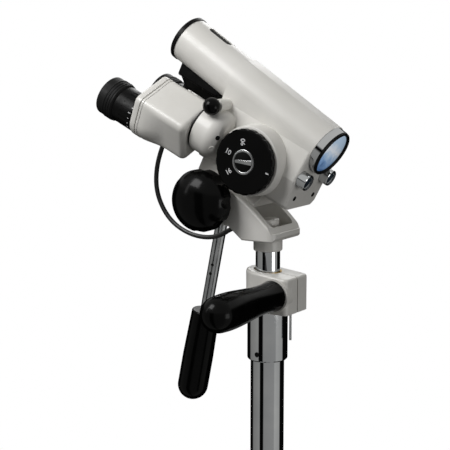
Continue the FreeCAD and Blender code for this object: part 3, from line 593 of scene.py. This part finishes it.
def soft_box(name, place, aim, width, height, watts):
    """A flat lamp, placed and sized in metres, that the camera doesn't see."""
    data = bpy.data.lights.new(name, "AREA")
    data.shape = "RECTANGLE"
    data.size = width
    data.size_y = height
    data.energy = watts
    lamp = bpy.data.objects.new(name, data)
    bpy.context.collection.objects.link(lamp)
    lamp.visible_camera = False
    lamp.location = place
    lamp.rotation_euler = (Vector(aim) - Vector(place)).to_track_quat("-Z", "Y").to_euler()


set_camera()


# The light cord, from the box under the lamp tube to the yoke

CORD_R = 2.5
CORD_ROUTE = (
    (-99.67, 447.59),
    (-113.87, 417.81),
    (-130.8, 385.0),
    (-141.5, 354.8),
    (-140.5, 326.0),
    (-123.2, 299.3),
    (-94.2, 286.0),
    (-63.0, 286.5),
    (-38.5, 302.6),
    (-20.5, 302.6),
)


def lay_cord(material):
    curve = bpy.data.curves.new("lamp_cord", "CURVE")
    curve.dimensions = "3D"
    curve.bevel_depth = CORD_R * MM
    curve.bevel_resolution = 5
    curve.resolution_u = 10
    curve.use_fill_caps = True
    line = curve.splines.new("NURBS")
    line.points.add(len(CORD_ROUTE) - 1)
    for point, (x, z) in zip(line.points, CORD_ROUTE):
        point.co = (x * MM, 0.0, z * MM, 1.0)
    line.order_u = 3
    line.use_endpoint_u = True
    curve.materials.append(material)
    cord = bpy.data.objects.new("lamp_cord", curve)
    bpy.context.collection.objects.link(cord)
    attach(cord, "head")
    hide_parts("light_cord")
    x, z = CORD_ROUTE[0]


lay_cord(pvc_cord())


# Finishes of the solids

FINISHES = {
    stoved_enamel: (
        "clamp_block swivel_cap yoke housing head_lug lamp_tube near_prism_housing"
        " far_prism_housing near_rear_cover far_rear_cover"
    ),
    chrome_plate: (
        "column_tube sleeve sleeve_ring stem bezel rod_bracket"
        " near_objective_cell far_objective_cell"
    ),
    satin_chrome: "handle_rod",
    ground_steel: (
        "clamp_nut stop_rod clamp_screw pivot_shaft knob_washer mag_shaft filter_shaft"
    ),
    turned_brass: "stem_bush",
    cast_aluminium: "lens_drum",
    moulded_phenolic: "clamp_handle tilt_knob mag_knob filter_ball grip",
    black_anodised: (
        "sleeve_screw lamp_end_cap bezel_ring socket_box near_dioptre_ring far_dioptre_ring"
    ),
    moulded_rubber: (
        "near_eyecup far_eyecup near_neck_gasket far_neck_gasket yoke_gland box_gland"
    ),
    steatite: "lamp_socket",
    crown_glass: (
        "lamp heat_filter condenser_lens near_objective_lens far_objective_lens near_eye_lens"
        " far_eye_lens near_prisms far_prisms drum_lenses"
    ),
    green_glass: "filter_disc",
    blue_lens_painted_glow: "front_lens",
}


def dress_solids():
    made = {}
    for finish, nodes in FINISHES.items():
        made[finish.__name__] = finish()
        for name in nodes.split():
            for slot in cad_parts[name].material_slots:
                slot.material = made[finish.__name__]
    return made


# Small pieces

SHARP_ANGLE = 35
BEVEL_ANGLE = 40


def place_piece(name, shape, frame_at, body, material, soften=0.0):
    """Turns a shape into a piece that rides on a body, with its edges rounded when soften is
    given.
    """
    bmesh.ops.remove_doubles(shape, verts=shape.verts, dist=1e-7)
    bmesh.ops.recalc_face_normals(shape, faces=shape.faces)
    mesh = bpy.data.meshes.new(name)
    shape.to_mesh(mesh)
    shape.free()
    mesh.transform(frame_at)
    for face in mesh.polygons:
        face.use_smooth = True
    mesh.set_sharp_from_angle(angle=math.radians(SHARP_ANGLE))
    mesh.materials.append(material)
    piece = bpy.data.objects.new(name, mesh)
    bpy.context.collection.objects.link(piece)
    if soften:
        edge = piece.modifiers.new("edge", "BEVEL")
        edge.width = soften * MM
        edge.segments = 3
        edge.limit_method = "ANGLE"
        edge.angle_limit = math.radians(BEVEL_ANGLE)
    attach(piece, body)
    return piece


def turned(profile, steps=48, sides=None, shape=None, centre=(0, 0)):
    """A solid turned about Z from (radius, height) points in millimetres.

    Points named in sides are six-sided instead of round.
    """
    shape = shape or bmesh.new()
    rings = []
    for index, (radius, height) in enumerate(profile):
        if radius == 0:
            rings.append([shape.verts.new((centre[0] * MM, centre[1] * MM, height * MM))])
            continue
        ring = []
        for step in range(steps):
            angle = math.tau * step / steps
            reach = radius
            if sides and index in sides:
                reach = radius / math.cos(angle % (math.tau / 6) - math.tau / 12)
            ring.append(
                shape.verts.new(
                    (
                        (centre[0] + reach * math.cos(angle)) * MM,
                        (centre[1] + reach * math.sin(angle)) * MM,
                        height * MM,
                    )
                )
            )
        rings.append(ring)
    for low, high in zip(rings, rings[1:]):
        for step in range(steps):
            after = (step + 1) % steps
            if len(low) == 1:
                shape.faces.new((low[0], high[after], high[step]))
            elif len(high) == 1:
                shape.faces.new((low[step], low[after], high[0]))
            else:
                shape.faces.new((low[step], low[after], high[after], high[step]))
    return shape


def raised(outline, low, high, shape=None):
    """A flat plate from an outline and two heights, in millimetres."""
    shape = shape or bmesh.new()
    bottom = [shape.verts.new((x * MM, y * MM, low * MM)) for x, y in outline]
    top = [shape.verts.new((x * MM, y * MM, high * MM)) for x, y in outline]
    shape.faces.new(bottom[::-1])
    shape.faces.new(top)
    for index in range(len(outline)):
        after = (index + 1) % len(outline)
        shape.faces.new((bottom[index], bottom[after], top[after], top[index]))
    return shape


def socket_screw(radius, height, sunk=-0.8):
    # A socket head with a six-sided hole for the key
    key = 0.5 * radius
    profile = [
        (0, sunk),
        (radius, sunk),
        (radius, height - 0.25),
        (radius - 0.25, height),
        (key + 0.15, height),
        (key, height - 0.15),
        (key, 0.25 * height),
        (0, 0.1 * height),
    ]
    return turned(profile, sides=(5, 6))


def slotted_screw(radius, height, sunk=-0.8):
    # A cheese head with a milled slot
    half_slot = 0.2 * radius
    floor_at = 0.4 * height
    shape = turned([(0, sunk), (radius, sunk), (radius, floor_at), (0, floor_at)], 48)
    start = math.asin(half_slot / radius)
    for side in (1, -1):
        arc = []
        for step in range(17):
            angle = start + (math.pi - 2 * start) * step / 16
            arc.append((radius * math.cos(angle), side * radius * math.sin(angle)))
        raised(arc[::side], floor_at - 0.02, height, shape)
    return shape


def facing(point, normal):
    """A frame at a point of the head, with Z along a direction in the head."""
    spin = Vector(normal).to_track_quat("Z", "Y").to_matrix().to_4x4()
    return HEAD @ at(*point) @ spin


def lettering(name, text, height, frame_at, body, material):
    # Printed figures, standing 0.1 mm proud
    curve = bpy.data.curves.new(name, "FONT")
    curve.body = text
    curve.size = height * MM
    curve.extrude = 0.1 * MM
    curve.offset = 0.12 * MM
    curve.align_x = "CENTER"
    curve.align_y = "CENTER"
    letters = bpy.data.objects.new(name + "_line", curve)
    bpy.context.collection.objects.link(letters)
    bpy.context.view_layer.update()
    mesh = bpy.data.meshes.new_from_object(
        letters.evaluated_get(bpy.context.evaluated_depsgraph_get())
    )
    bpy.data.objects.remove(letters)
    mesh.transform(frame_at)
    mesh.materials.clear()
    mesh.materials.append(material)
    piece = bpy.data.objects.new(name, mesh)
    bpy.context.collection.objects.link(piece)
    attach(piece, body)
    return piece


# The magnification knob's face

KNOB_X, KNOB_W = 31.0, 62.7
FIGURE_R = 20.0
FIGURE_HEIGHT = 7.0
FIGURES = (("06", 117), ("10", 177), ("16", 237))


def mag_knob_face():
    face_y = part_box("mag_knob")[0][1] / MM
    face = HEAD @ at(KNOB_X, face_y, KNOB_W) @ NEAR_SIDE
    ink = made["screen_print"]
    for text, angle in FIGURES:
        spot = face @ turn(angle, "Z") @ at(FIGURE_R, 0, 0) @ turn(180, "Z")
        lettering("knob_figure_" + text, text, FIGURE_HEIGHT, spot, "magnification", ink)
    ring = [(10.2, -0.6), (12.4, -0.6), (12.4, 0.15), (12.0, 0.35), (10.6, 0.35), (10.2, 0.15)]
    shape = turned(ring + ring[:1], 64)
    place_piece("knob_ring", shape, face, "magnification", made["satin_chrome"])
    disc = [(0, -0.62), (10.0, -0.62), (10.0, -0.45), (9.6, -0.3), (0, -0.3)]
    place_piece(
        "knob_disc", turned(disc, 64), face, "magnification", made["black_anodised"]
    )
    bar = [(-9.6, -1.4), (9.4, -2.4), (9.9, 0), (9.4, 2.4), (-9.6, 1.4), (-9.9, 0)]
    place_piece(
        "knob_bar",
        raised(bar, -0.5, 0.2),
        face @ turn(22, "Z"),
        "magnification",
        made["satin_chrome"],
        soften=0.2,
    )
    tick = [(27.5, -0.6), (31.0, -0.6), (31.0, 0.6), (27.5, 0.6)]
    place_piece(
        "knob_tick",
        raised(tick, -0.1, 0.1),
        face @ turn(6, "Z"),
        "magnification",
        ink,
    )


# Screws and marks

LOUVRE_R = 23.4
LOUVRE_START = 20.5
LOUVRE_PITCH = 4.2
LOUVRE_LENGTH = 4.6
LOUVRE_SLOPE = 1.4
LOUVRE_THICK = 0.8


def vent_painted_shade():
    # A black louvred plate inside the vent in the lamp tube: painted shade, a dark sheet standing
    # where the inside of the tube lies in shade
    shape = bmesh.new()
    rows = []
    for step in range(9):
        angle = math.radians(-14 + 28 * step / 8)
        rows.append((LOUVRE_R * math.sin(angle), LOUVRE_R * math.cos(angle)))
    drop = Vector((0, 0, -LOUVRE_THICK * MM))
    for index in range(7):
        x = LOUVRE_START + LOUVRE_PITCH * index
        low = [Vector((x, y, w)) * MM for y, w in rows]
        high = [Vector((x + LOUVRE_LENGTH, y, w - LOUVRE_SLOPE)) * MM for y, w in rows]
        front = [shape.verts.new(point) for point in low]
        back = [shape.verts.new(point) for point in high]
        under = [shape.verts.new(point + drop) for point in low]
        below = [shape.verts.new(point + drop) for point in high]
        for i in range(len(rows) - 1):
            shape.faces.new((front[i], front[i + 1], back[i + 1], back[i]))
            shape.faces.new((under[i + 1], under[i], below[i], below[i + 1]))
            shape.faces.new((front[i + 1], front[i], under[i], under[i + 1]))
            shape.faces.new((back[i], back[i + 1], below[i + 1], below[i]))
        for i in (0, len(rows) - 1):
            shape.faces.new((front[i], back[i], below[i], under[i]))
    place_piece("tube_louvre_painted_shade", shape, LAMP, "head", made["black_anodised"])


SLEEVE_STEPS = 24
SLEEVE_GROOVE = 0.35


def cord_sleeve(name, count, body, big, small):
    """A ribbed rubber sleeve round the cord, following its own line from its first end."""
    line = bpy.data.objects["lamp_cord"].copy()
    line.data = line.data.copy()
    line.data.bevel_depth = 0.0
    bpy.context.collection.objects.link(line)
    bpy.context.view_layer.update()
    path = bpy.data.meshes.new_from_object(
        line.evaluated_get(bpy.context.evaluated_depsgraph_get())
    )
    bpy.data.objects.remove(line)
    points = [vertex.co.copy() for vertex in path.vertices][:count]
    shape = bmesh.new()
    rings = []
    for index, point in enumerate(points):
        ahead = points[min(index + 1, count - 1)] - points[max(index - 1, 0)]
        spin = ahead.to_track_quat("Z", "Y").to_matrix()
        share = index / (count - 1)
        radius = big + (small - big) * share - (SLEEVE_GROOVE if index % 2 else 0.0)
        ring = []
        for step in range(SLEEVE_STEPS):
            angle = math.tau * step / SLEEVE_STEPS
            offset = Vector((math.cos(angle), math.sin(angle), 0)) * radius * MM
            ring.append(shape.verts.new(point + spin @ offset))
        rings.append(ring)
    for low, high in zip(rings, rings[1:]):
        for step in range(SLEEVE_STEPS):
            after = (step + 1) % SLEEVE_STEPS
            shape.faces.new((low[step], low[after], high[after], high[step]))
    shape.faces.new(rings[0])
    shape.faces.new(rings[-1])
    place_piece(name, shape, Matrix(), body, made["moulded_rubber"])


# The Porro housings, with their fuller corners and the lobe round the eyepiece

PRISM_Y, PRISM_W, PRISM_HALF, PRISM_ROLL = 38.25, 57.5, 24.5, 32.0
PRISM_CORNER, PRISM_INNER_CORNER = 7.0, 9.0
EYE_LOBE_R = 20.5
SECTION_STEPS = 96

# Places along the head, from the eyepiece's mouth forward
TUBE_MOUTH, TUBE_ROOT = -121.0, -102.0
TUBE_OUTER_R, TUBE_INNER_R = 15.0, 13.0
COVER_BEND, COVER_ROUND = -99.2, 3.8
COVER_EDGE, COVER_FACE = -95.4, -94.9
BODY_FACE, BODY_EDGE = -94.3, -93.8
GROOVE_REAR, GROOVE_FRONT = -91.6, -90.4
BLEND_LENGTH = 30.4
BODY_BEND, BODY_ROUND = -42.0, 6.0

# How far the skin is drawn in at the joint, in the groove and where the blend starts
EDGE_BREAK = 0.6
GROOVE_DEPTH, GROOVE_SLOPE = 0.5, 0.3
BLEND_DEPTH = 0.3


def rounded_square(half, corner, inner):
    """Points round a square with one fuller corner, in its own frame."""
    points = []
    for turn_at, radius in ((0, corner), (90, corner), (180, corner), (270, inner)):
        for step in range(SECTION_STEPS // 4):
            angle = math.radians(turn_at + 90 * step / (SECTION_STEPS // 4 - 1))
            cx = (half - radius) * (1 if turn_at in (0, 270) else -1)
            cy = (half - radius) * (1 if turn_at in (0, 90) else -1)
            points.append((cx + radius * math.cos(angle), cy + radius * math.sin(angle)))
    return points


def hull(points):
    """The convex outline round some points, turning one way."""
    points = sorted(points)
    sides = []
    for run in (points, points[::-1]):
        edge = []
        for point in run:
            while len(edge) > 1:
                (ax, ay), (bx, by) = edge[-2], edge[-1]
                if (bx - ax) * (point[1] - ay) - (by - ay) * (point[0] - ax) > 0:
                    break
                edge.pop()
            edge.append(point)
        sides += edge[:-1]
    return sides


def all_round(outline, cx, cy):
    """The outline again, with a point at each of an even set of angles round a centre."""
    result = []
    for step in range(SECTION_STEPS):
        angle = math.tau * step / SECTION_STEPS
        dx, dy = math.cos(angle), math.sin(angle)
        for index, (bx, by) in enumerate(outline):
            ax, ay = outline[index - 1]
            ex, ey = bx - ax, by - ay
            across = dx * ey - dy * ex
            if abs(across) < 1e-9:
                continue
            reach = ((ax - cx) * ey - (ay - cy) * ex) / across
            along = ((ax - cx) * dy - (ay - cy) * dx) / across
            if reach > 0 and -1e-6 <= along <= 1 + 1e-6:
                result.append((cx + reach * dx, cy + reach * dy))
                break
    return result


def between(first, second, share):
    """An outline part of the way from one to another."""
    return [
        (ax + (bx - ax) * share, ay + (by - ay) * share)
        for (ax, ay), (bx, by) in zip(first, second)
    ]


def inset(outline, depth):
    """The outline moved in towards its middle by a depth."""
    count = len(outline)
    moved = []
    for index, (x, y) in enumerate(outline):
        (ax, ay), (bx, by) = outline[index - 1], outline[(index + 1) % count]
        length = math.hypot(bx - ax, by - ay)
        moved.append((x - depth * (by - ay) / length, y + depth * (bx - ax) / length))
    return moved


def loft(shape, stations):
    """A closed skin through outlines, each at its own place along Z."""
    rings = []
    for place, outline in stations:
        rings.append([shape.verts.new((x * MM, y * MM, place * MM)) for x, y in outline])
    for low, high in zip(rings, rings[1:]):
        for index in range(len(low)):
            after = (index + 1) % len(low)
            shape.faces.new((low[index], low[after], high[after], high[index]))
    shape.faces.new(rings[0][::-1])
    shape.faces.new(rings[-1])
    return shape


def rounded_end(outline, place, radius, way):
    """Stations that round an end off over a radius, from the full outline outwards."""
    stations = []
    for step in range(7):
        angle = math.pi / 2 * step / 6
        stations.append(
            (
                place + way * radius * math.sin(angle),
                inset(outline, radius * (1 - math.cos(angle))),
            )
        )
    return stations


def prism_bodies():
    paint = made["stoved_enamel"]
    for side, name in ((-1, "near"), (1, "far")):
        roll = math.radians(PRISM_ROLL) * -side
        # In the head's own directions: across the eyes, then up
        flat = []
        for x, y in rounded_square(PRISM_HALF, PRISM_CORNER, PRISM_INNER_CORNER):
            across = -side * x
            flat.append(
                (
                    side * PRISM_Y + across * math.cos(roll) - y * math.sin(roll),
                    PRISM_W + across * math.sin(roll) + y * math.cos(roll),
                )
            )
        circle = []
        for step in range(64):
            angle = math.tau * step / 64
            circle.append(
                (
                    side * EYE_Y + EYE_LOBE_R * math.cos(angle),
                    EYE_W + EYE_LOBE_R * math.sin(angle),
                )
            )
        plain = all_round(hull(flat), side * PRISM_Y, PRISM_W)
        lobed = all_round(hull(flat + circle), side * PRISM_Y, PRISM_W)
        # The loft runs along the head's X; its own X and Y are the head's Y and up
        frame_at = HEAD @ Matrix(((0, 0, 1, 0), (1, 0, 0, 0), (0, 1, 0, 0), (0, 0, 0, 1)))
        body = bmesh.new()
        edge = inset(lobed, EDGE_BREAK)
        groove = inset(lobed, GROOVE_DEPTH)
        stations = [(BODY_FACE, edge), (BODY_EDGE, lobed), (GROOVE_REAR, lobed)]
        stations.append((GROOVE_REAR + GROOVE_SLOPE, groove))
        stations.append((GROOVE_FRONT - GROOVE_SLOPE, groove))
        for step in range(1, 9):
            share = step / 8
            ease = share * share * (3 - 2 * share)
            outline = between(inset(lobed, BLEND_DEPTH), plain, ease)
            stations.append((GROOVE_FRONT + BLEND_LENGTH * share, outline))
        stations += rounded_end(plain, BODY_BEND, BODY_ROUND, 1)
        loft(body, stations)
        housing = place_piece(
            name + "_prism_body", body, frame_at, name + "_prism_unit", paint
        )
        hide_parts(name + "_prism_housing")
        cover = bmesh.new()
        rear = rounded_end(lobed, COVER_BEND, COVER_ROUND, -1)
        loft(cover, rear[::-1] + [(COVER_EDGE, lobed), (COVER_FACE, edge)])
        tube = [
            (TUBE_INNER_R, TUBE_MOUTH),
            (TUBE_OUTER_R, TUBE_MOUTH),
            (TUBE_OUTER_R, TUBE_ROOT),
            (TUBE_INNER_R, TUBE_ROOT),
        ]
        turned(tube + tube[:1], 64, shape=cover, centre=(side * EYE_Y, EYE_W))
        lid = place_piece(
            name + "_cover_body", cover, frame_at, name + "_prism_unit", paint
        )
        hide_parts(name + "_rear_cover")


LENS_BACK, LENS_SEAT_R, LENS_SEAT = 199.0, 20.0, 205.05
LENS_R, LENS_CROWN_AT, LENS_CROWN = 21.7, 205.3, 1.7


def lens_mouth():
    # The front lens carries on over its seat, in a thin black lip
    glass = [(0, LENS_BACK), (LENS_SEAT_R, LENS_BACK), (LENS_SEAT_R, LENS_SEAT)]
    glass.append((LENS_R, LENS_SEAT))
    for step in range(13):
        radius = LENS_R * (1 - step / 12)
        glass.append((radius, LENS_CROWN_AT + LENS_CROWN * (1 - (radius / LENS_R) ** 2)))
    lens = place_piece(
        "front_glass",
        turned(glass, 96),
        LAMP @ FRONT,
        "head",
        made["blue_lens_painted_glow"],
    )
    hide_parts("front_lens")
    lip = [(21.8, 205.02), (24.8, 205.02), (24.8, 206.9), (24.0, 207.7), (23.5, 208.1)]
    lip += [(23.0, 207.6), (21.8, 205.9)]
    ring = place_piece(
        "lens_lip",
        turned(lip + lip[:1], 96),
        LAMP @ FRONT,
        "head",
        made["black_anodised"],
    )
    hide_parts("bezel_ring")


# Height, rear, front and half width of each level of the terminal box's skirt
SKIRT_LEVELS = (
    (81.0, -86.0, -52.0, 8.0),
    (83.0, -90.0, -50.0, 9.6),
    (91.2, -97.0, -47.5, 12.6),
)
SKIRT_CORNER = 3.0


def box_skirt():
    # A black skirt under the lamp's terminal box, drawn in downwards
    shape = bmesh.new()
    stations = []
    corner = SKIRT_CORNER
    for height, rear, front, half in SKIRT_LEVELS:
        outline = []
        for cx, cy, start in (
            (front - corner, half - corner, 0),
            (rear + corner, half - corner, 90),
            (rear + corner, -half + corner, 180),
            (front - corner, -half + corner, 270),
        ):
            for step in range(6):
                angle = math.radians(start + 90 * step / 5)
                outline.append((cx + corner * math.cos(angle), cy + corner * math.sin(angle)))
        stations.append((height, outline))
    loft(shape, stations)
    black = made["black_anodised"]
    place_piece("box_skirt", shape, HEAD, "head", black, soften=0.8)


RIBS_AT = (-133.0, -136.2, -139.4)
RIB_R, RIB_RISE, RIB_HALF, RIB_ROOT_R = 20.85, 0.75, 1.1, 20.0


def eyecup_ribs():
    # Soft rings moulded round each rubber cup
    for side, name in ((-1, "near"), (1, "far")):
        shape = bmesh.new()
        for middle in RIBS_AT:
            section = []
            for step in range(9):
                angle = math.pi * step / 8
                reach = RIB_R + RIB_RISE * math.sin(angle)
                section.append((reach, middle - RIB_HALF * math.cos(angle)))
            section.append((RIB_ROOT_R, middle + RIB_HALF))
            section.append((RIB_ROOT_R, middle - RIB_HALF))
            turned(section + section[:1], 72, shape=shape)
        spot = HEAD @ at(0, side * EYE_Y, EYE_W) @ FRONT
        rubber = made["moulded_rubber"]
        place_piece(name + "_cup_ribs", shape, spot, name + "_dioptre", rubber)


ROD_SCREWS = (("upper", (-94.4, 38.5, 248.3)), ("lower", (-96.9, 38.5, 238.3)))


def rod_screws():
    # Two small grub screws in the side of the handle rod
    for name, place in ROD_SCREWS:
        place_piece(
            name + "_rod_screw",
            socket_screw(1.7, 0.3, sunk=-1.2),
            at(*place) @ NEAR_SIDE,
            "head",
            made["black_anodised"],
        )


# Places in the head; the plug and the screw on the neck also have the way they face
FRONT_SCREW = (82.0, 18.5, 45.6)
LUG_SCREW = (-28.0, 19.7, 28.5)
NECK_PLUG = ((-5.7, -53.0, 70.0), (0.86, -0.5, 0.1))
NECK_SCREW = ((-7.2, -53.4, 56.7), (0.75, -0.6, -0.28))


def fasteners():
    black = made["black_anodised"]
    steel = made["ground_steel"]
    paint = made["stoved_enamel"]
    for side, name in ((-1, "near"), (1, "far")):
        x, y, w = FRONT_SCREW
        spot = HEAD @ at(x, side * y, w) @ FRONT
        place_piece(
            name + "_front_screw", socket_screw(2.6, 0.5), spot, "head", black
        )
    spot = facing(*NECK_PLUG)
    place_piece("neck_plug", socket_screw(2.4, 0.6), spot, "head", black)
    spot = facing(*NECK_SCREW)
    place_piece("neck_screw", slotted_screw(3.2, 0.5), spot, "head", paint)
    for side, name in ((-1, "near"), (1, "far")):
        x, y, w = LUG_SCREW
        spot = HEAD @ at(x, side * y, w) @ (NEAR_SIDE if side < 0 else FAR_SIDE)
        place_piece(name + "_lug_screw", socket_screw(2.2, 1.2), spot, "head", black)


SCALE_X = -104.6
SCALE_R = 19.5
TICK_HALF, TICK_LONG, TICK_SHORT = 0.35, 3.2, 1.6


def dioptre_scale():
    # Filled ticks round the front of each dioptre ring, the longest at zero
    ink = made["screen_print"]
    for side, name in ((-1, "near"), (1, "far")):
        shape = bmesh.new()
        for step in range(-3, 4):
            reach = TICK_SHORT if step else TICK_LONG
            tick = [(-TICK_HALF, 0), (TICK_HALF, 0), (TICK_HALF, reach), (-TICK_HALF, reach)]
            block = raised(tick, -0.1, 0.12)
            spin = turn(-8 + 17 * step, "X") @ at(0, side * SCALE_R, 0) @ turn(-90 * side, "X")
            block.transform(spin @ turn(90, "Z"))
            mesh = bpy.data.meshes.new("tick")
            block.to_mesh(mesh)
            block.free()
            shape.from_mesh(mesh)
            bpy.data.meshes.remove(mesh)
        spot = HEAD @ at(SCALE_X, side * EYE_Y, EYE_W)
        place_piece(name + "_dioptre_scale", shape, spot, name + "_dioptre", ink)


made = dress_solids()
made["screen_print"] = screen_print()
mag_knob_face()
fasteners()
dioptre_scale()
vent_painted_shade()
prism_bodies()
lens_mouth()
box_skirt()
eyecup_ribs()
rod_screws()
cord_sleeve("box_cord_sleeve", 5, "head", 3.6, 2.95)
studio_floor()
studio_world()
for lamp in LAMPS:
    soft_box(*lamp)

bpy.context.scene.view_settings.view_transform = "Standard"
